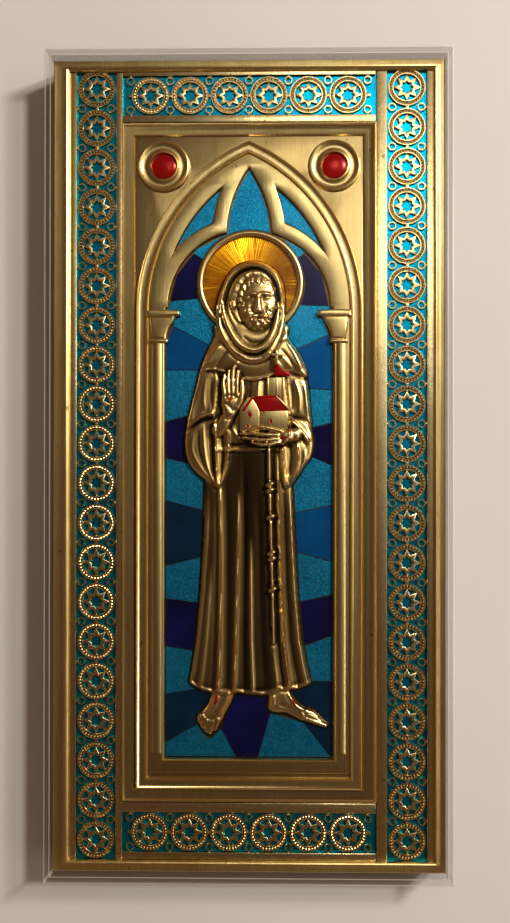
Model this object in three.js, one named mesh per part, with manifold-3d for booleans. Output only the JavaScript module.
// Icon panel: an embossed brass plate with enamel fills and pierced strips, in a clear case.
// Millimetres. The panel lies on its back: +Z is out of the face, +Y is the picture's top,
// and the origin is under the middle of the back.
import * as THREE from 'three';
import { mergeVertices } from 'three/addons/utils/BufferGeometryUtils.js';
import Module from 'manifold-3d';

const wasm = await Module();
wasm.setup();

// Clearance between neighbouring pieces, and how far relief is sunk into what carries it.
const GAP = 0.3;
const SINK = 0.4;
const WELD = 1e-5;

// Clear case: outer size, wall and corner rounding.
const CASE = { width: 124, height: 253, depth: 22, wall: 1.3, corner: 0.9, cornerSteps: 3 };

// Levels above the back.
const FLOOR_Z = 13;
const ENAMEL_BASE_Z = FLOOR_Z + GAP;
const ENAMEL_TOP_Z = ENAMEL_BASE_Z + 0.4;
const STRIP_BASE_Z = ENAMEL_TOP_Z + GAP;
const STRIP_TOP_Z = STRIP_BASE_Z + 0.8;
const FIELD_Z = 14.4;
const TRACERY_Z = 14.8;

// Plate edge and its rolled moulding: inset from the edge and height, the ends narrower.
const PLATE = { halfX: CASE.width / 2 - CASE.wall - GAP, halfY: CASE.height / 2 - CASE.wall - GAP };
const ROLL = [[0, 15.2], [0.5, 15.7], [1.05, 15.2], [1.3, 14.9], [1.9, 15.8], [3, 16.4], [4.1, 15.8], [4.75, 14.3]];
const ROLL_WIDTH = 4.9;
const ROLL_END_SCALE = 0.67;

// Inner frame: outer edge, then a band that falls inwards from a raised lip.
const BORDER = { side: 21.2, top: 19.3, bottom: 21.3 };
const FRAME = {
  x: PLATE.halfX - BORDER.side, top: PLATE.halfY - BORDER.top, bottom: BORDER.bottom - PLATE.halfY,
};
const FRAME_BAND = [[0, 15.1], [0.35, 15.6], [0.9, 15.1], [3.9, 14.5]];
const FRAME_BAND_WIDTH = 4.1;

// The picture inside the frame is drawn for a field of this size, and stretched to the frame's.
const DRAWN = { x: 39.2, top: 105.6, bottom: -103.6 };

// Pointed arch: concentric arcs about a centre across the axis, on straight sides.
const ARCH = { springY: 47.5, centreX: 22.2, outer: 57, inner: 53.3, cell: 48.9, steps: 6, bottom: -99.8 };
const ARCH_EDGE = { width: 0.9, shoulder: 0.3, z: 15.7, faceZ: 15.2 };

// Niche: straight sides, then a lobe and a lancet, each an arc.
const NICHE = { x: 25.8, bottom: -90.1, springY: 48.5, steps: 3 };
const LOBE = { centreX: 1, centreY: 48.5, radius: 24.05, rib: 4.05 };
const LANCET = { belowArch: 4.16, centreY: 70, radius: 37.65, rib: 4.35 };
LANCET.rise = ARCH.springY + Math.sqrt(ARCH.inner ** 2 - ARCH.centreX ** 2) - LANCET.belowArch - LANCET.centreY;
LANCET.centreX = Math.sqrt(LANCET.radius ** 2 - LANCET.rise ** 2);
const NICHE_EDGE = { width: 1.2, z: 15.1 };

// Columns beside the niche: shaft, neck ring, flared bell and abacus.
const COLUMN = { x: 28.35, width: 3.3, z: 15.3, foot: 1.5 };
const NECK = { low: 37.6, high: 38.9, inner: 25.3, z: 15.7 };
const BELL = { high: 45.8, inner: 22.9, z: 15.4 };
const ABACUS = { high: 47.6, inner: 21.5, z: 16 };

// Round bosses in the upper corners.
const BOSS = { x: 26.3, y: 92.25, cup: 3.95, floorZ: 13.6, topZ: 16.5, sides: 12 };
const BOSS_PROFILE = [[8, 14.5], [7.5, 15.5], [6.6, 14.8], [4.6, 15.9], [3.6, 15.7]];
const BOSS_FILL = { radius: BOSS.cup - GAP, baseZ: BOSS.floorZ + GAP, edgeZ: 14.8, crownZ: 15.3 };

// Pierced strips: round rosettes in a row, each with a star opening.
const STRIP = { lap: 0.4, side: 8.4, top: 8.6, bottom: 9.4, halfField: 6.4, endMargin: 5.2, starMargin: 1 };
const ROSETTE = { pitch: 12.2, ring: 5.45, starTip: 3.9, starNotch: 2.2, points: 8 };

// Halo behind the head.
const HALO = {
  x: 0.5, y: 56.1, outer: 16.55, ring: 2.1, z: 15.1, from: -54, to: 235, steps: 18, sides: 32, fillSides: 24,
};

// Standing figure. Stations run [y, left x, right x].
const SKIRT = [[5.5, -13, 13], [-4.6, -13.8, 13.5], [-21.9, -14.2, 14.4], [-39, -15.2, 15.3],
  [-54.2, -16.6, 16.7], [-66.6, -18.4, 19.2], [-70.5, -18.5, 19.3]];
const SKIRT_ROWS = 5;
const SKIRT_TOP_Y = 5.5;
const HEM = [[0, -67.2], [0.08, -69.6], [0.2, -70.6], [0.6, -70.9], [0.72, -70.2], [0.8, -68.8], [1, -67.2]];
// Folds of the skirt from left to right: place across it, and height from valley to ridge.
const SKIRT_FOLDS = [[0, 0], [0.03, 0.9], [0.065, 0.1], [0.1, 0.8], [0.15, 0], [0.21, 0.9], [0.27, 0.6],
  [0.32, 0], [0.385, 1], [0.415, 0.1], [0.47, 0], [0.53, 0.7], [0.58, 0], [0.68, 0.2], [0.79, 0.1],
  [0.84, 1], [0.885, 0], [0.925, 0.1], [0.96, 0.9], [1, 0]];
const SKIRT_RISE = { edge: 0.9, dome: 2, fold: 0.75 };
const TORSO = [[30, -15, 17.5], [23.8, -16.5, 18.6], [14.2, -18.5, 19.3], [6, -19.7, 20], [2, -18.8, 19]];
const TORSO_RISE = { edge: 0.9, dome: 2.3 };
const CAPE = [[42, -9, 9.6], [38, -11.4, 11.8], [34.5, -13.2, 15.4], [30.5, -14.9, 17.4], [27.6, -15.5, 18],
  [26.6, -13.5, 16]];
const CAPE_RISE = { edge: 1.7, dome: 2.3 };
const SLEEVE_LEFT = [[29, -15.1, -9.4], [23.8, -16.5, -9.2], [14.2, -18.5, -10.3], [6, -19.7, -10],
  [2, -19.1, -9.8], [-1.6, -17.2, -9.6], [-4.3, -13.4, -9.4], [-7.3, -10, -9.2]];
const SLEEVE_RIGHT = [[29, 11.5, 17.7], [23.8, 12, 18.6], [14.2, 12.4, 19.3], [6, 10.6, 20],
  [1, 10.8, 17.9], [-3, 11, 14.9], [-7.3, 11.2, 12.2]];
const SLEEVE_RISE = { edge: 1.6, dome: 2.5, fold: 0.35 };
const HOOD = { x: 0.7, y: 48, halfX: 10.6, halfY: 13.4, low: 31, rows: 8, edge: 1.3, dome: 2 };
// Folds of the cowl, hanging from both sides of the neck: half width, start, lowest point, height.
const COWL_FOLDS = [[8.8, 46, 32.4, 17.6], [7.4, 47, 35.6, 17.8]];
const COWL = { x: 1.1, width: 1.5, steps: 7 };
const HEAD = { x: 2.4, y: 50.6, halfX: 6.9, halfY: 9, base: 1.7, rise: 4, turn: 0.9, columns: 12, rows: 14 };
// Face of even proportions, from the head's middle: eyes half way up, nose and mouth on thirds.
const FACE = { eyeX: 2.5, eyeY: 0.3, browY: 2.1, noseTop: 2, noseBase: -4.2, mouthY: -5.3, mouthHalf: 1.6 };
const FACE_RISE = { nose: 0.35, tip: 0.15, socket: 0.65, lid: 0.45, brow: 0.3, mouth: 0.35, hair: 0.45, beard: 0.45 };
const CORD = { x: 6.2, endX: 7.7, top: 4.8, bottom: -54.5, width: 1, z: 17 };
const KNOTS = [-6.2, -7.8, -15.9, -27, -28.6, -38.1];
const KNOT = { radius: 0.9, rise: 0.4, sides: 6 };
const BELT = { left: -7, right: 6, y: 4.6, width: 1, z: 17.2 };
// Raised hand: fingers as root and tip, then the palm's stations and the thumb.
const FINGERS = [[[-6.9, 21.5], [-7.1, 28.8]], [[-5.65, 21.5], [-5.6, 29.6]], [[-4.4, 21.5], [-4.2, 30]],
  [[-3.15, 21.5], [-3, 28.9]]];
const FINGER = { width: 1.25, z: 17.6 };
const PALM = [[22.6, -8.2, -2.6], [20, -8.7, -2.2], [16, -8.2, -2.7], [13.4, -7.6, -3.6], [9, -8, -4.6]];
const PALM_RISE = { edge: 3, dome: 1.3 };
const THUMB = { root: [-2.9, 20.5], tip: [-2, 26], width: 1.2, z: 17.4 };
// Carrying hand and its fingers.
const CARRYING = [[12, 1, 11.2], [10.6, -1.6, 12.2], [8.8, -3, 12.4], [7, -1.4, 12], [6, 2, 10]];
const CARRYING_RISE = { edge: 3.2, dome: 1.6 };
const KNUCKLES = [[[-2.6, 10.2], [5.5, 9.6]], [[-1.7, 8.85], [5.5, 8.7]], [[-0.8, 7.5], [5.5, 7.8]]];
const KNUCKLE = { width: 0.9, z: 18.1 };
// Small church as flat slabs, each an outline and its height.
const CHURCH = {
  front: { z: 17.4, outline: [[-2.6, 10.4], [3.2, 10.4], [3.2, 16.7], [0.5, 20.6], [-0.9, 20.6], [-2.6, 17]] },
  side: { z: 17, outline: [[3, 10.8], [11.9, 10.8], [11.9, 17], [3, 16.9]] },
  roof: { z: 17.3, outline: [[1, 20.5], [9.5, 21], [12.6, 16.7], [3.1, 16.4]] },
  tower: { z: 16.9, outline: [[5.6, 20], [11, 20], [11, 27.2], [5.6, 27.2]] },
  towerRoof: { z: 17.3, outline: [[7.6, 30.2], [8.8, 30.6], [12.6, 27.1], [11.8, 26.5], [8, 27.4]] },
  crossUpright: { z: 17.3, outline: [[8.2, 29.8], [8.9, 29.8], [8.9, 34.6], [8.2, 34.6]] },
  crossArm: { z: 17.3, outline: [[7, 32.4], [10.2, 32.4], [10.2, 33.1], [7, 33.1]] },
};
// Left foot, pointing down, in stations across; right foot, pointing right, as [x, low y, high y].
const FOOT_LEFT = [[-68.8, -11.4, -4.6], [-73.5, -12.6, -5.4], [-76.5, -13.6, -7], [-78.5, -15.7, -7.5],
  [-80.8, -15.3, -8.2], [-82.6, -13.8, -10], [-84.1, -12.6, -11.6]];
const FOOT_RIGHT = [[5.9, -76, -68.8], [9.5, -77, -68.8], [12.6, -77.9, -69.8], [16.7, -79.2, -74.2],
  [20.5, -80.3, -75.2], [24, -81.2, -79.8]];
const FOOT_RISE = { edge: 0.9, dome: 1.5, toe: 0.35 };
const TOES = { left: -79, right: 17, columns: 6 };

// Pane borders on each side: y at the niche's wall and y at the figure, from top to bottom.
const BORDERS_LEFT = [[70.8, 61], [50.6, 52.2], [44.2, 35.8], [29.4, 29.4], [13.4, 17.4], [2.2, -1.6],
  [-11, -15.1], [-31.1, -27.2], [-41.3, -43.3], [-55.9, -58.5], [-70.8, -68.2], [-85.6, -76.6]];
const BORDERS_RIGHT = [[72.6, 59.7], [49.1, 49.7], [40.7, 33.8], [23.2, 24.2], [13.1, 9.2], [-0.2, 6.7],
  [-12.3, -15.7], [-29.9, -25.5], [-40, -43.4], [-52.5, -58.3], [-66.8, -66.4], [-90.6, -70.7]];
const INNER_X = 10;
const AXIS_X = 8;
// Dark pane between the feet: sides, where they turn, and foot.
const MIDDLE = {
  left: -9, turnLeft: [-8.2, -81.5], footLeft: -3.1, footRight: 2.4, right: 6.3, turnRight: -77.4, top: -66,
};

const BRASS = { color: 0xb8954a, roughness: 0.32, metalness: 0.85 };
const LIGHT_ENAMEL = { color: 0x1590b0, roughness: 0.35, metalness: 0.1 };
const MID_ENAMEL = { color: 0x0b4c96, roughness: 0.2, metalness: 0.1 };
const DARK_ENAMEL = { color: 0x06285c, roughness: 0.15, metalness: 0.1 };
const NAVY_ENAMEL = { color: 0x130c58, roughness: 0.15, metalness: 0.1 };
const AMBER_ENAMEL = { color: 0xd8930f, roughness: 0.25, metalness: 0.2 };
const RED_ENAMEL = { color: 0xa8100e, roughness: 0.2, metalness: 0 };
const CLEAR = { color: 0xeef2f2, roughness: 0.05, metalness: 0, transparent: true, opacity: 0.16 };

// Colours of the side panes from top to bottom.
const LOOKS_UPPER = [LIGHT_ENAMEL, NAVY_ENAMEL, LIGHT_ENAMEL, MID_ENAMEL, LIGHT_ENAMEL, NAVY_ENAMEL, LIGHT_ENAMEL];
const LOOKS_LOWER = [LIGHT_ENAMEL, NAVY_ENAMEL, LIGHT_ENAMEL, DARK_ENAMEL];
const LOOKS_LEFT = [...LOOKS_UPPER, DARK_ENAMEL, ...LOOKS_LOWER];
const LOOKS_RIGHT = [...LOOKS_UPPER, MID_ENAMEL, ...LOOKS_LOWER];

const group = new THREE.Group();
group.name = 'icon_panel_set';

function toSolid(geometry) {
  const bare = geometry.clone();
  bare.deleteAttribute('normal');
  bare.deleteAttribute('uv');
  const welded = mergeVertices(bare, WELD);
  return new wasm.Manifold(new wasm.Mesh({
    numProp: 3,
    vertProperties: new Float32Array(welded.attributes.position.array),
    triVerts: new Uint32Array(welded.index.array),
  }));
}

function addPiece(name, solid, look) {
  const mesh = solid.getMesh();
  const geometry = new THREE.BufferGeometry();
  geometry.setAttribute('position', new THREE.BufferAttribute(new Float32Array(mesh.vertProperties), 3));
  geometry.setIndex(new THREE.BufferAttribute(new Uint32Array(mesh.triVerts), 1));
  geometry.computeVertexNormals();
  const piece = new THREE.Mesh(geometry, new THREE.MeshStandardMaterial(look));
  piece.name = name;
  group.add(piece);
}

function unite(solids) {
  return solids.reduce((whole, next) => whole.add(next));
}

function mirrored(points) {
  return points.map(([x, y]) => [-x, y]).reverse();
}

// Upright prism over a flat outline, with holes.
function prism(outline, low, high, holes = []) {
  const shape = new THREE.Shape(outline.map(([x, y]) => new THREE.Vector2(x, y)));
  shape.holes = holes.map((hole) => new THREE.Path(hole.map(([x, y]) => new THREE.Vector2(x, y))));
  const geometry = new THREE.ExtrudeGeometry(shape, { depth: high - low, bevelEnabled: false });
  geometry.translate(0, 0, low);
  return toSolid(geometry);
}

function rectangle(left, right, low, high) {
  return [[left, low], [right, low], [right, high], [left, high]];
}

function circle(x, y, radius, sides) {
  return Array.from({ length: sides }, (_, i) => {
    const angle = (2 * Math.PI * i) / sides;
    return [x + radius * Math.cos(angle), y + radius * Math.sin(angle)];
  });
}

// Points of an arc from one angle to another, in radians, both ends included.
function arc(x, y, radius, from, to, steps) {
  return Array.from({ length: steps + 1 }, (_, i) => {
    const angle = from + ((to - from) * i) / steps;
    return [x + radius * Math.cos(angle), y + radius * Math.sin(angle)];
  });
}

// Upper crossing of two circles, each [x, y, radius].
function crossing(first, second) {
  const [ax, ay, ar] = first;
  const [bx, by, br] = second;
  const apart = Math.hypot(bx - ax, by - ay);
  const along = (ar * ar - br * br + apart * apart) / (2 * apart);
  const across = Math.sqrt(ar * ar - along * along);
  const ux = (bx - ax) / apart;
  const uy = (by - ay) / apart;
  const ends = [1, -1].map((side) => {
    const reach = side * across;
    return [ax + along * ux - reach * uy, ay + along * uy + reach * ux];
  });
  return ends[0][1] > ends[1][1] ? ends[0] : ends[1];
}

// Angle from an arc's centre to a point.
function angleTo(x, y, point) {
  return Math.atan2(point[1] - y, point[0] - x);
}

// Value at a place, read between the stations of a falling or rising list.
function between(stations, place, column) {
  for (let i = 1; i < stations.length; i += 1) {
    const [a, b] = [stations[i - 1], stations[i]];
    const part = (place - a[0]) / (b[0] - a[0]);
    if (part >= 0 && part <= 1) {
      return a[column] + part * (b[column] - a[column]);
    }
  }
  const first = Math.abs(place - stations[0][0]) < Math.abs(place - stations[stations.length - 1][0]);
  return (first ? stations[0] : stations[stations.length - 1])[column];
}

// A profile carried along a flat path with mitred corners. Profile points are [offset, z].
function sweep(path, profile, closed) {
  const count = path.length;
  const vertices = [];
  path.forEach((point, i) => {
    const before = path[closed ? (i + count - 1) % count : Math.max(i - 1, 0)];
    const after = path[closed ? (i + 1) % count : Math.min(i + 1, count - 1)];
    const arrive = new THREE.Vector2(point[0] - before[0], point[1] - before[1]).normalize();
    const leave = new THREE.Vector2(after[0] - point[0], after[1] - point[1]).normalize();
    const along = arrive.clone().add(leave).normalize();
    const solidEnd = arrive.lengthSq() > 0 ? arrive : leave;
    const stretch = 1 / Math.max(0.35, along.dot(solidEnd));
    profile.forEach(([offset, z]) => {
      vertices.push(point[0] - along.y * offset * stretch, point[1] + along.x * offset * stretch, z);
    });
  });
  const width = profile.length;
  const faces = [];
  const last = closed ? count : count - 1;
  for (let i = 0; i < last; i += 1) {
    const near = i * width;
    const far = ((i + 1) % count) * width;
    for (let j = 0; j < width; j += 1) {
      const k = (j + 1) % width;
      faces.push(near + j, far + j, far + k, near + j, far + k, near + k);
    }
  }
  if (!closed) {
    const end = (count - 1) * width;
    for (let j = 1; j < width - 1; j += 1) {
      faces.push(0, j, j + 1, end, end + j + 1, end + j);
    }
  }
  return outward(vertices, faces);
}

// A closed shell as a solid, its faces turned if they look inwards.
function outward(vertices, faces) {
  let volume = 0;
  for (let i = 0; i < faces.length; i += 3) {
    const [a, b, c] = [0, 1, 2].map((k) => new THREE.Vector3().fromArray(vertices, faces[i + k] * 3));
    volume += a.dot(b.cross(c));
  }
  const turned = volume < 0 ? faces.slice().reverse() : faces;
  const geometry = new THREE.BufferGeometry();
  geometry.setAttribute('position', new THREE.BufferAttribute(new Float32Array(vertices), 3));
  geometry.setIndex(turned);
  return toSolid(geometry);
}

// Bead with a rounded top, for mouldings and cords.
function bead(width, low, high) {
  const half = width / 2;
  const shoulder = high - 0.4 * Math.min(width, high - low);
  return [[-half, low], [-half, shoulder], [0, high], [half, shoulder], [half, low]];
}

// Relief over a grid of rows of [x, y, z], closed below at the sunk level.
function relief(rows) {
  const depth = rows.length;
  const width = rows[0].length;
  const vertices = [];
  rows.forEach((row) => row.forEach(([x, y, z]) => vertices.push(x, y, z)));
  rows.forEach((row) => row.forEach(([x, y]) => vertices.push(x, y, FLOOR_Z - SINK)));
  const under = depth * width;
  const faces = [];
  for (let i = 0; i < depth - 1; i += 1) {
    for (let j = 0; j < width - 1; j += 1) {
      const [a, b, c, d] = [i * width + j, i * width + j + 1, (i + 1) * width + j + 1, (i + 1) * width + j];
      faces.push(a, c, b, a, d, c);
      faces.push(under + a, under + b, under + c, under + a, under + c, under + d);
    }
  }
  const rim = [];
  for (let j = 0; j < width - 1; j += 1) {
    rim.push(j);
  }
  for (let i = 0; i < depth - 1; i += 1) {
    rim.push(i * width + width - 1);
  }
  for (let j = width - 1; j > 0; j -= 1) {
    rim.push((depth - 1) * width + j);
  }
  for (let i = depth - 1; i > 0; i -= 1) {
    rim.push(i * width);
  }
  rim.forEach((near, i) => {
    const far = rim[(i + 1) % rim.length];
    faces.push(near, far, under + far, near, under + far, under + near);
  });
  return outward(vertices, faces);
}

// Rounded cross section: 0 at both edges and 1 in the middle, flatter for a higher power.
function crown(across, power = 2.4) {
  return Math.sqrt(Math.max(0, 1 - Math.abs(2 * across - 1) ** power));
}

// Rounded relief with a row at each station, and its height raised or cut by a function.
function rounded(stations, rise, columns, height = () => 0) {
  return relief(stations.map(([y, left, right]) => Array.from({ length: columns + 1 }, (_, j) => {
    const across = j / columns;
    const x = left + (right - left) * across;
    return [x, y, FLOOR_Z + rise.edge + rise.dome * crown(across) + height(across, x, y)];
  })));
}

// Half outline of the arch at a radius, from the spring line up to the apex, on the right.
function archHalf(radius) {
  const apex = Math.acos(ARCH.centreX / radius);
  return arc(-ARCH.centreX, ARCH.springY, radius, 0, apex, ARCH.steps);
}

// Right half of the niche opening, from its bottom to the lancet's apex, narrowed all round.
function nicheHalf(narrower) {
  const lobe = [LOBE.centreX, LOBE.centreY, LOBE.radius - narrower];
  const lancet = [-LANCET.centreX, LANCET.centreY, LANCET.radius - narrower];
  const cusp = crossing(lobe, lancet);
  const start = Math.asin((NICHE.springY - LOBE.centreY) / lobe[2]);
  return [
    [NICHE.x - narrower, NICHE.bottom + narrower],
    [NICHE.x - narrower, NICHE.springY],
    ...arc(...lobe, start, angleTo(LOBE.centreX, LOBE.centreY, cusp), NICHE.steps),
    ...arc(...lancet, angleTo(-LANCET.centreX, LANCET.centreY, cusp), Math.acos(LANCET.centreX / lancet[2]),
      NICHE.steps).slice(1),
  ];
}

function nicheOutline(narrower) {
  const half = nicheHalf(narrower);
  return [...half, ...mirrored(half).slice(1)];
}

// Right side cell of the tracery: outer arch, lobe rib and lancet rib.
function cellOutline(narrower) {
  const arch = [-ARCH.centreX, ARCH.springY, ARCH.cell - narrower];
  const lobe = [LOBE.centreX, LOBE.centreY, LOBE.radius + LOBE.rib + narrower];
  const lancet = [-LANCET.centreX, LANCET.centreY, LANCET.radius + LANCET.rib + narrower];
  const [top, corner, tip] = [crossing(arch, lancet), crossing(lobe, lancet), crossing(lobe, arch)];
  const side = (circleOf, from, to, steps) => arc(...circleOf, angleTo(circleOf[0], circleOf[1], from),
    angleTo(circleOf[0], circleOf[1], to), steps).slice(0, -1);
  return [...side(arch, tip, top, 5), ...side(lancet, top, corner, 3), ...side(lobe, corner, tip, 4)];
}

// Right capital: neck ring and bell below the abacus, widened all round.
function capitalOutline(wider) {
  return [
    [ARCH.outer, NECK.low - wider], [NECK.inner - wider, NECK.low - wider],
    [NECK.inner - wider, NECK.high], [BELL.inner - wider, BELL.high - wider],
    [ABACUS.inner - wider, BELL.high - wider], [ABACUS.inner - wider, ABACUS.high + wider],
    [ARCH.outer, ABACUS.high + wider],
  ];
}

// Outline between the left and right stations, widened all round.
function stationOutline(stations, wider) {
  const right = stations.map(([y, , x]) => [x + wider, y]);
  const left = stations.map(([y, x]) => [x - wider, y]).reverse();
  right[0][1] += wider;
  left[left.length - 1][1] += wider;
  right[right.length - 1][1] -= wider;
  left[0][1] -= wider;
  return [...right, ...left];
}

function makeCase() {
  const { width, height, depth, wall, corner, cornerSteps } = CASE;
  const outline = [[1, 1, 0], [-1, 1, 1], [-1, -1, 2], [1, -1, 3]].flatMap(([sx, sy, turn]) => arc(
    sx * (width / 2 - corner), sy * (height / 2 - corner), corner,
    (turn * Math.PI) / 2, ((turn + 1) * Math.PI) / 2, cornerSteps));
  const hollow = rectangle(wall - width / 2, width / 2 - wall, wall - height / 2, height / 2 - wall);
  return prism(outline, 0, depth).subtract(prism(hollow, -1, depth - wall));
}

// Rectangular moulding from a profile of [inset, z], narrower at the two ends by a scale.
function rectangularMoulding(halfX, top, bottom, profile, width, endScale) {
  const closedProfile = [[0, FLOOR_Z - SINK], ...profile, [width, FLOOR_Z - SINK]];
  const vertices = [];
  [[1, bottom, 1], [1, top, -1], [-1, top, -1], [-1, bottom, 1]].forEach(([side, y, inwards]) => {
    closedProfile.forEach(([inset, z]) => {
      vertices.push(side * (halfX - inset), y + inwards * inset * endScale, z);
    });
  });
  const size = closedProfile.length;
  const faces = [];
  for (let i = 0; i < 4; i += 1) {
    const [near, far] = [i * size, ((i + 1) % 4) * size];
    for (let j = 0; j < size; j += 1) {
      const k = (j + 1) % size;
      faces.push(near + j, far + j, far + k, near + j, far + k, near + k);
    }
  }
  return outward(vertices, faces);
}

// Plate with its rolled edge and the inner frame's band.
function makePlate() {
  return unite([
    prism(rectangle(-PLATE.halfX, PLATE.halfX, -PLATE.halfY, PLATE.halfY), 0, FLOOR_Z),
    rectangularMoulding(PLATE.halfX, PLATE.halfY, -PLATE.halfY, ROLL, ROLL_WIDTH, ROLL_END_SCALE),
    rectangularMoulding(FRAME.x, FRAME.top, FRAME.bottom, FRAME_BAND, FRAME_BAND_WIDTH, 1),
  ]);
}

// Half outline of the arch closed by its mirror image.
function archOutline(radius, bottom) {
  const half = archHalf(radius);
  const x = radius - ARCH.centreX;
  return [[x, bottom], ...half, ...mirrored(half).slice(1), [-x, bottom]];
}

// Band of the arch: flat between two raised edges.
function makeArchBand() {
  const low = FLOOR_Z - SINK;
  const half = (ARCH.outer - ARCH.inner) / 2;
  const { width, z, faceZ, shoulder } = ARCH_EDGE;
  const profile = [[-half, low], [-half, z - shoulder], [-half + width / 2, z], [-half + width, faceZ],
    [half - width, faceZ], [half - width / 2, z], [half, z - shoulder], [half, low]];
  return sweep(archOutline((ARCH.outer + ARCH.inner) / 2, ARCH.bottom + half), profile, true);
}

// Column and capital beside the niche, on the right or mirrored.
function makeColumn(side) {
  const low = FLOOR_Z - SINK;
  const wallX = ARCH.inner - ARCH.centreX + SINK;
  const block = (outline, high) => prism(side > 0 ? outline : mirrored(outline), low, high);
  const shaft = [[side * COLUMN.x, NICHE.bottom + COLUMN.foot], [side * COLUMN.x, NECK.low + SINK]];
  const bell = [[NECK.inner, NECK.high], [wallX, NECK.high], [wallX, BELL.high], [BELL.inner, BELL.high]];
  return unite([
    sweep(shaft, bead(COLUMN.width, low, COLUMN.z), false),
    block(rectangle(NECK.inner, wallX, NECK.low, NECK.high), NECK.z),
    block(bell, BELL.z),
    block(rectangle(ABACUS.inner, wallX, BELL.high, ABACUS.high), ABACUS.z),
  ]);
}

function makeArchitecture() {
  const low = FLOOR_Z - SINK;
  const openings = [nicheOutline(0), cellOutline(0), mirrored(cellOutline(0))];
  const edgeX = NICHE.x + NICHE_EDGE.width / 2;
  const edgeY = NICHE.bottom - NICHE_EDGE.width / 2;
  const nicheEdge = [[-edgeX, NECK.low + SINK], [-edgeX, edgeY], [edgeX, edgeY], [edgeX, NECK.low + SINK]];
  const faceBottom = (NICHE.bottom + ARCH.bottom) / 2;
  const parts = [
    prism(rectangle(-DRAWN.x, DRAWN.x, DRAWN.bottom, DRAWN.top), low, FIELD_Z, openings),
    prism(archOutline(ARCH.inner + SINK, faceBottom), low, TRACERY_Z, openings),
    makeArchBand(),
    sweep(nicheEdge, bead(NICHE_EDGE.width, low, NICHE_EDGE.z), false),
  ];
  [1, -1].forEach((side) => {
    parts.push(makeColumn(side));
    parts.push(makeBoss(side * BOSS.x, BOSS.y));
  });
  const cup = (side) => prism(circle(side * BOSS.x, BOSS.y, BOSS.cup, BOSS.sides), BOSS.floorZ, BOSS.topZ);
  return unite(parts).subtract(cup(1)).subtract(cup(-1));
}

// A solid drawn for the drawn field, stretched to the frame's size.
function stretch(solid) {
  const wide = FRAME.x / DRAWN.x;
  const tall = (FRAME.top - FRAME.bottom) / (DRAWN.top - DRAWN.bottom);
  const mesh = solid.getMesh();
  const vertices = Array.from(mesh.vertProperties);
  for (let i = 0; i < vertices.length; i += 3) {
    vertices[i] *= wide;
    vertices[i + 1] = FRAME.bottom + (vertices[i + 1] - DRAWN.bottom) * tall;
  }
  return outward(vertices, Array.from(mesh.triVerts));
}

// Form turned about an upright axis, without the faces that close to nothing on that axis.
function lathe(points, x, y, sides) {
  const geometry = new THREE.LatheGeometry(points.map(([r, z]) => new THREE.Vector2(r, z)), sides);
  geometry.rotateX(Math.PI / 2);
  geometry.translate(x, y, 0);
  geometry.deleteAttribute('normal');
  geometry.deleteAttribute('uv');
  const welded = mergeVertices(geometry, WELD);
  const index = Array.from(welded.index.array);
  const faces = [];
  for (let i = 0; i < index.length; i += 3) {
    const [a, b, c] = index.slice(i, i + 3);
    if (a !== b && b !== c && c !== a) {
      faces.push(a, b, c);
    }
  }
  return outward(Array.from(welded.attributes.position.array), faces);
}

function makeBoss(x, y) {
  const low = FLOOR_Z - SINK;
  const inner = BOSS_PROFILE[BOSS_PROFILE.length - 1];
  return lathe([[0, low], [BOSS_PROFILE[0][0], low], ...BOSS_PROFILE, [0, inner[1]]], x, y, BOSS.sides);
}

function makeBossFill(side) {
  const { radius, baseZ, edgeZ, crownZ } = BOSS_FILL;
  return lathe([[0, baseZ], [radius, baseZ], [radius, edgeZ], [radius * 0.6, crownZ - 0.15], [0, crownZ]],
    side * BOSS.x, BOSS.y, BOSS.sides);
}

// Star opening of a rosette.
function starHole(x, y) {
  return Array.from({ length: ROSETTE.points * 2 }, (_, i) => {
    const angle = Math.PI / 2 + (Math.PI * i) / ROSETTE.points;
    const radius = i % 2 ? ROSETTE.starNotch : ROSETTE.starTip;
    return [x + radius * Math.cos(angle), y + radius * Math.sin(angle)];
  });
}

// Opening between two rosettes: their rims and the two margins bound it.
function webHole(along, across) {
  const flat = ROSETTE.ring * Math.tan(Math.PI / ROSETTE.points);
  const waist = ROSETTE.pitch / 2 - ROSETTE.ring;
  const margin = waist + STRIP.halfField - flat;
  const side = [[margin, STRIP.halfField], [waist, 0], [margin, -STRIP.halfField]];
  const outline = [...side, ...side.map(([u, v]) => [-u, v]).reverse()];
  return outline.map(([u, v]) => [across + v, along + u]);
}

// One strip: its two edges, its half length, and as many rosettes along its centre line as fit.
function makeStrip(edges, halfLength, centre, turned) {
  const turn = ([x, y]) => (turned ? [y, x] : [x, y]);
  const room = 2 * (halfLength - ROSETTE.starTip - STRIP.starMargin);
  const count = Math.floor(room / ROSETTE.pitch) + 1;
  const first = (-ROSETTE.pitch * (count - 1)) / 2;
  const stars = Array.from({ length: count }, (_, i) => starHole(centre, first + i * ROSETTE.pitch));
  const webs = Array.from({ length: count + 1 }, (_, i) => first + (i - 0.5) * ROSETTE.pitch)
    .filter((y) => halfLength - Math.abs(y) > STRIP.endMargin)
    .map((y) => webHole(y, centre));
  const outline = rectangle(edges[0], edges[1], -halfLength, halfLength);
  const openings = [...stars, ...webs].map((hole) => prism(hole.map(turn), ENAMEL_TOP_Z, STRIP_TOP_Z + SINK));
  return prism(outline.map(turn), STRIP_BASE_Z, STRIP_TOP_Z).subtract(unite(openings));
}

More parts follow.
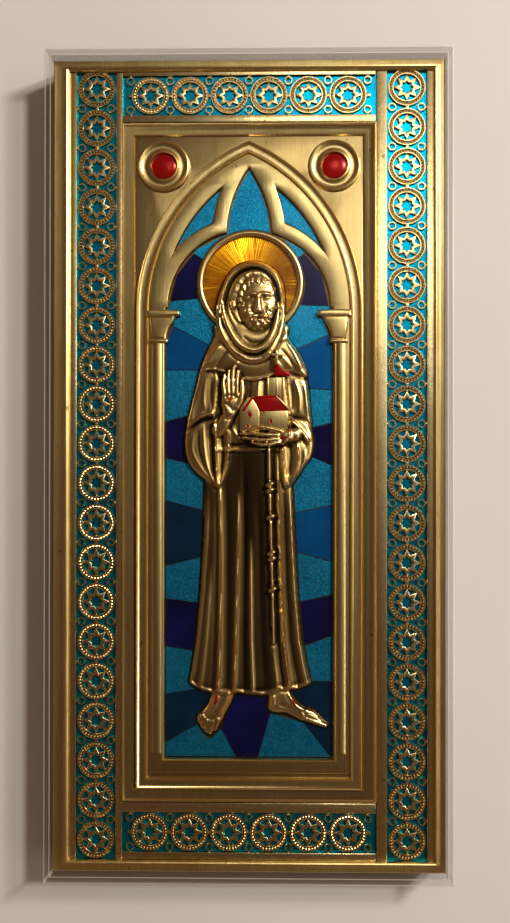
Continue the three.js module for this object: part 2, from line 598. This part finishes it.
function addStrips() {
  const rollY = PLATE.halfY - ROLL_WIDTH * ROLL_END_SCALE - GAP;
  const rollX = PLATE.halfX - ROLL_WIDTH - GAP;
  const innerX = FRAME.x + STRIP.lap;
  const [low, high] = [FRAME.bottom - GAP, FRAME.top + GAP];
  const sideX = FRAME.x + STRIP.side;
  addPiece('filigree_left', makeStrip([-rollX, -innerX], rollY, -sideX, false), BRASS);
  addPiece('filigree_right', makeStrip([innerX, rollX], rollY, sideX, false), BRASS);
  const shortHalf = FRAME.x - GAP;
  addPiece('filigree_top', makeStrip([high, rollY], shortHalf, FRAME.top + STRIP.top, true), BRASS);
  addPiece('filigree_bottom', makeStrip([-rollY, low], shortHalf, FRAME.bottom - STRIP.bottom, true), BRASS);
  const ground = prism(rectangle(-rollX, rollX, -rollY, rollY), ENAMEL_BASE_Z, ENAMEL_TOP_Z,
    [rectangle(-FRAME.x - GAP, FRAME.x + GAP, low, high)]);
  addPiece('border_enamel', ground, LIGHT_ENAMEL);
}

// Skirt with upright folds and a waving hem.
function makeSkirt() {
  return relief(Array.from({ length: SKIRT_ROWS + 1 }, (_, i) => SKIRT_FOLDS.map(([across, fold]) => {
    const part = i / SKIRT_ROWS;
    const y = SKIRT_TOP_Y + (between(HEM, across, 1) - SKIRT_TOP_Y) * part;
    const left = between(SKIRT, y, 1);
    const right = between(SKIRT, y, 2);
    const depth = SKIRT_RISE.fold * (0.55 + 0.45 * part);
    const rise = SKIRT_RISE.edge + SKIRT_RISE.dome * crown(across, 3) + depth * fold;
    return [left + (right - left) * across, y, FLOOR_Z + rise];
  })));
}

function bump(value, centre, spread) {
  return Math.exp(-(((value - centre) / spread) ** 2));
}

// Height of the head over its base, at u and v across and up it.
function headHeight(u, v) {
  const face = HEAD.turn * (1 - v * v * 0.6);
  const x = u * HEAD.halfX - face;
  const y = v * HEAD.halfY;
  const dome = HEAD.rise * Math.sqrt(Math.max(0, 1 - u * u * 0.92 - v * v * 0.92));
  const down = FACE.noseTop - y;
  const onNose = down > 0 && y > FACE.noseBase;
  const nose = onNose ? bump(x, 0, 0.75 + 0.08 * down) * (FACE_RISE.nose + FACE_RISE.tip * down) : 0;
  const eye = bump(Math.abs(x), FACE.eyeX, 1.5) * bump(y, FACE.eyeY, 0.9);
  const lid = bump(Math.abs(x), FACE.eyeX, 1) * bump(y, FACE.eyeY, 0.5);
  const brow = bump(y, FACE.browY, 0.7) * bump(Math.abs(x), FACE.eyeX, 2);
  const mouth = bump(y, FACE.mouthY, 0.4) * bump(x, 0, FACE.mouthHalf);
  const lips = bump(y, FACE.mouthY, 0.8) * bump(x, 0, FACE.mouthHalf);
  const hair = v > 0.62 || Math.abs(u) > 0.84 ? FACE_RISE.hair : 0;
  const beard = y < FACE.noseBase ? FACE_RISE.beard * bump(x, 0, HEAD.halfX * 0.7) * (1 - lips) : 0;
  return dome + nose - FACE_RISE.socket * eye + FACE_RISE.lid * lid + FACE_RISE.brow * brow
    - FACE_RISE.mouth * mouth + hair + beard;
}

function makeHead() {
  const { x, y, halfX, halfY, columns, rows } = HEAD;
  return relief(Array.from({ length: rows + 1 }, (_, i) => {
    const v = 0.985 - (1.97 * i) / rows;
    const width = Math.sqrt(1 - v * v) ** 0.8;
    return Array.from({ length: columns + 1 }, (__, j) => {
      const u = width * ((2 * j) / columns - 1);
      return [x + u * halfX, y + v * halfY, FLOOR_Z + HEAD.base + headHeight(u, v)];
    });
  }));
}

function hoodStations() {
  return Array.from({ length: HOOD.rows + 1 }, (_, i) => {
    const turn = 0.12 + (i / HOOD.rows) * (Math.PI - 0.24);
    const reach = turn < Math.PI / 2 ? HOOD.halfY : HOOD.y - HOOD.low;
    const half = HOOD.halfX * Math.sin(turn) ** (turn < Math.PI / 2 ? 0.85 : 0.6);
    return [HOOD.y + reach * Math.cos(turn), HOOD.x - half, HOOD.x + half];
  });
}

// Rounded folds that hang in curves from both sides of the neck.
function makeCowl() {
  return COWL_FOLDS.map(([half, start, lowest, z]) => {
    const path = Array.from({ length: COWL.steps + 1 }, (_, i) => {
      const u = (2 * i) / COWL.steps - 1;
      return [COWL.x + half * u, lowest + (start - lowest) * Math.abs(u) ** 2.2];
    });
    return sweep(path, bead(COWL.width, FLOOR_Z - SINK, z), false);
  });
}

// Finger, arm or other rounded limb from one point to another, as a bead.
function limb(from, to, width, z) {
  return sweep([from, to], bead(width, FLOOR_Z - SINK, z), false);
}

function makeHands() {
  return [
    ...FINGERS.map(([root, tip]) => limb(root, tip, FINGER.width, FINGER.z)),
    rounded(PALM, PALM_RISE, 4),
    limb(THUMB.root, THUMB.tip, THUMB.width, THUMB.z),
    rounded(CARRYING, CARRYING_RISE, 4),
    ...KNUCKLES.map(([from, to]) => limb(from, to, KNUCKLE.width, KNUCKLE.z)),
  ];
}

function makeFeet() {
  const columns = TOES.columns;
  const toes = (across) => FOOT_RISE.toe * Math.cos(across * columns * Math.PI);
  const left = rounded(FOOT_LEFT, FOOT_RISE, columns, (across, x, y) => (y < TOES.left ? toes(across) : 0));
  const right = relief(FOOT_RIGHT.map(([x, low, high]) => Array.from({ length: columns + 1 }, (_, j) => {
    const across = j / columns;
    const rise = FOOT_RISE.edge + FOOT_RISE.dome * crown(across) + (x > TOES.right ? toes(across) : 0);
    return [x, low + (high - low) * across, FLOOR_Z + rise];
  })));
  return [left, right];
}

function makeFigure() {
  const low = FLOOR_Z - SINK;
  const cord = sweep([[CORD.x, CORD.top], [CORD.endX, CORD.bottom]], bead(CORD.width, low, CORD.z), false);
  const knots = KNOTS.map((y) => {
    const part = (CORD.top - y) / (CORD.top - CORD.bottom);
    const x = CORD.x + (CORD.endX - CORD.x) * part;
    return prism(circle(x, y, KNOT.radius, KNOT.sides), low, CORD.z + KNOT.rise);
  });
  const sleeveFold = (across) => SLEEVE_RISE.fold * Math.cos(across * 5 * Math.PI);
  const halo = arc(HALO.x, HALO.y, HALO.outer - HALO.ring / 2, (HALO.from * Math.PI) / 180,
    (HALO.to * Math.PI) / 180, HALO.steps);
  return unite([
    makeSkirt(),
    rounded(TORSO, TORSO_RISE, 6),
    rounded(CAPE, CAPE_RISE, 8),
    rounded(SLEEVE_LEFT, SLEEVE_RISE, 5, sleeveFold),
    rounded(SLEEVE_RIGHT, SLEEVE_RISE, 5, sleeveFold),
    rounded(hoodStations(), HOOD, 6),
    ...makeCowl(),
    makeHead(),
    ...makeHands(),
    ...Object.values(CHURCH).map(({ outline, z }) => prism(outline, low, z)),
    ...makeFeet(),
    limb([BELT.left, BELT.y], [BELT.right, BELT.y], BELT.width, BELT.z),
    cord,
    ...knots,
    sweep(halo, bead(HALO.ring, low, HALO.z), false),
  ]);
}

// Outline of the skirt with its hem, widened all round.
function skirtOutline(wider) {
  const sides = SKIRT.slice(0, -2);
  const hem = HEM.map(([across, y]) => {
    const left = between(SKIRT, y, 1) - wider;
    const right = between(SKIRT, y, 2) + wider;
    return [left + (right - left) * across, y - wider];
  });
  return [...sides.map(([y, , x]) => [x + wider, y]), ...hem.reverse(),
    ...sides.map(([y, x]) => [x - wider, y]).reverse()];
}

// Space the figure takes out of the enamel, widened all round.
function figureSpace(wider) {
  const upright = [TORSO, CAPE, SLEEVE_LEFT, SLEEVE_RIGHT, hoodStations(), FOOT_LEFT];
  const footRight = stationOutline(FOOT_RIGHT.slice().reverse(), wider).map(([y, x]) => [x, y]).reverse();
  const outlines = [skirtOutline(wider), ...upright.map((stations) => stationOutline(stations, wider)), footRight];
  return unite(outlines.map((outline) => prism(outline, FLOOR_Z - SINK, STRIP_TOP_Z)));
}

// Y of a pane border at a distance from the axis.
function borderAt([wall, inner], x) {
  return inner + ((wall - inner) * (x - INNER_X)) / (NICHE.x - INNER_X);
}

// Fill cut from a space by an outline, at the size of the frame.
function addFill(name, outline, space, look) {
  addPiece(name, stretch(prism(outline, FLOOR_Z, FIELD_Z).intersect(space)), look);
}

// Panes on one side, each between two borders, from the cusp down to the foot.
function addSidePanes(name, side, borders, looks, space) {
  const half = GAP / 2;
  const wallX = NICHE.x + 1;
  const cusp = cuspPoint();
  const apexY = LANCET.centreY + LANCET.rise;
  looks.forEach((look, i) => {
    const above = i > 0 ? borders[i - 1] : [apexY, apexY];
    const innerX = i === 0 ? cusp[0] + GAP : AXIS_X;
    const band = [
      [innerX, borderAt(borders[i], innerX) + half], [wallX, borderAt(borders[i], wallX) + half],
      [wallX, borderAt(above, wallX) - half], [innerX, borderAt(above, innerX) - half],
    ];
    const label = `pane_${name}_${String(i + 1).padStart(2, '0')}`;
    addFill(label, side > 0 ? band : mirrored(band), space, look);
  });
}

function cuspPoint() {
  return crossing([LOBE.centreX, LOBE.centreY, LOBE.radius], [-LANCET.centreX, LANCET.centreY, LANCET.radius]);
}

// Panes round the feet: the dark middle one and a light one on each side.
function addFootPanes(space) {
  const half = GAP / 2;
  const below = NICHE.bottom - NICHE_EDGE.width;
  const last = [BORDERS_LEFT, BORDERS_RIGHT].map((borders) => borders[borders.length - 1]);
  const [turnX, turnY] = MIDDLE.turnLeft;
  const { left, right, footLeft, footRight, turnRight, top } = MIDDLE;
  addFill('pane_foot_middle', [[left, turnY + GAP], [turnX, turnY], [footLeft, below], [footRight, below],
    [right, turnRight], [right, top], [left, top]], space, NAVY_ENAMEL);
  addFill('pane_foot_left', [[-NICHE.x, borderAt(last[0], NICHE.x) - half], [-INNER_X, last[0][1] - half],
    [turnX - GAP, turnY], [footLeft - GAP, below], [-NICHE.x, below]], space, LIGHT_ENAMEL);
  addFill('pane_foot_right', [[right + half, turnRight], [INNER_X, last[1][1] - half],
    [NICHE.x, borderAt(last[1], NICHE.x) - half], [NICHE.x, below], [footRight + half, below]], space, LIGHT_ENAMEL);
}

function addEnamel() {
  const capitals = [capitalOutline(GAP), mirrored(capitalOutline(GAP))];
  const haloDisc = (radius) => prism(circle(HALO.x, HALO.y, radius, HALO.sides), FLOOR_Z, FIELD_Z);
  const niche = prism(nicheOutline(GAP), ENAMEL_BASE_Z, ENAMEL_TOP_Z);
  const raised = [figureSpace(GAP), haloDisc(HALO.outer + GAP)];
  capitals.forEach((outline) => raised.push(prism(outline, FLOOR_Z, FIELD_Z)));
  const space = niche.subtract(unite(raised));
  const middle = rectangle(MIDDLE.left - GAP / 2, MIDDLE.right + GAP / 2, NICHE.bottom - GAP, MIDDLE.top);
  const sideSpace = space.subtract(prism(middle, FLOOR_Z, FIELD_Z));
  const cusp = cuspPoint();
  const apexY = LANCET.centreY + LANCET.rise;
  addFill('pane_lancet', rectangle(-cusp[0], cusp[0], HALO.y, apexY), space, LIGHT_ENAMEL);
  addSidePanes('left', -1, BORDERS_LEFT, LOOKS_LEFT, sideSpace);
  addSidePanes('right', 1, BORDERS_RIGHT, LOOKS_RIGHT, sideSpace);
  addFootPanes(space);
  addPiece('pane_cell_left', stretch(prism(mirrored(cellOutline(GAP)), ENAMEL_BASE_Z, ENAMEL_TOP_Z)), LIGHT_ENAMEL);
  addPiece('pane_cell_right', stretch(prism(cellOutline(GAP), ENAMEL_BASE_Z, ENAMEL_TOP_Z)), LIGHT_ENAMEL);
  const hood = prism(stationOutline(hoodStations(), GAP), FLOOR_Z, FIELD_Z);
  const fillRadius = HALO.outer - HALO.ring - GAP;
  const halo = prism(circle(HALO.x, HALO.y, fillRadius, HALO.fillSides), ENAMEL_BASE_Z, ENAMEL_TOP_Z);
  addPiece('halo_enamel', stretch(halo.subtract(hood)), AMBER_ENAMEL);
  addPiece('boss_enamel_left', stretch(makeBossFill(-1)), RED_ENAMEL);
  addPiece('boss_enamel_right', stretch(makeBossFill(1)), RED_ENAMEL);
}

addPiece('acrylic_case', makeCase(), CLEAR);
addPiece('icon_panel', makePlate().add(stretch(makeArchitecture().add(makeFigure()))), BRASS);
addStrips();
addEnamel();

export default group;
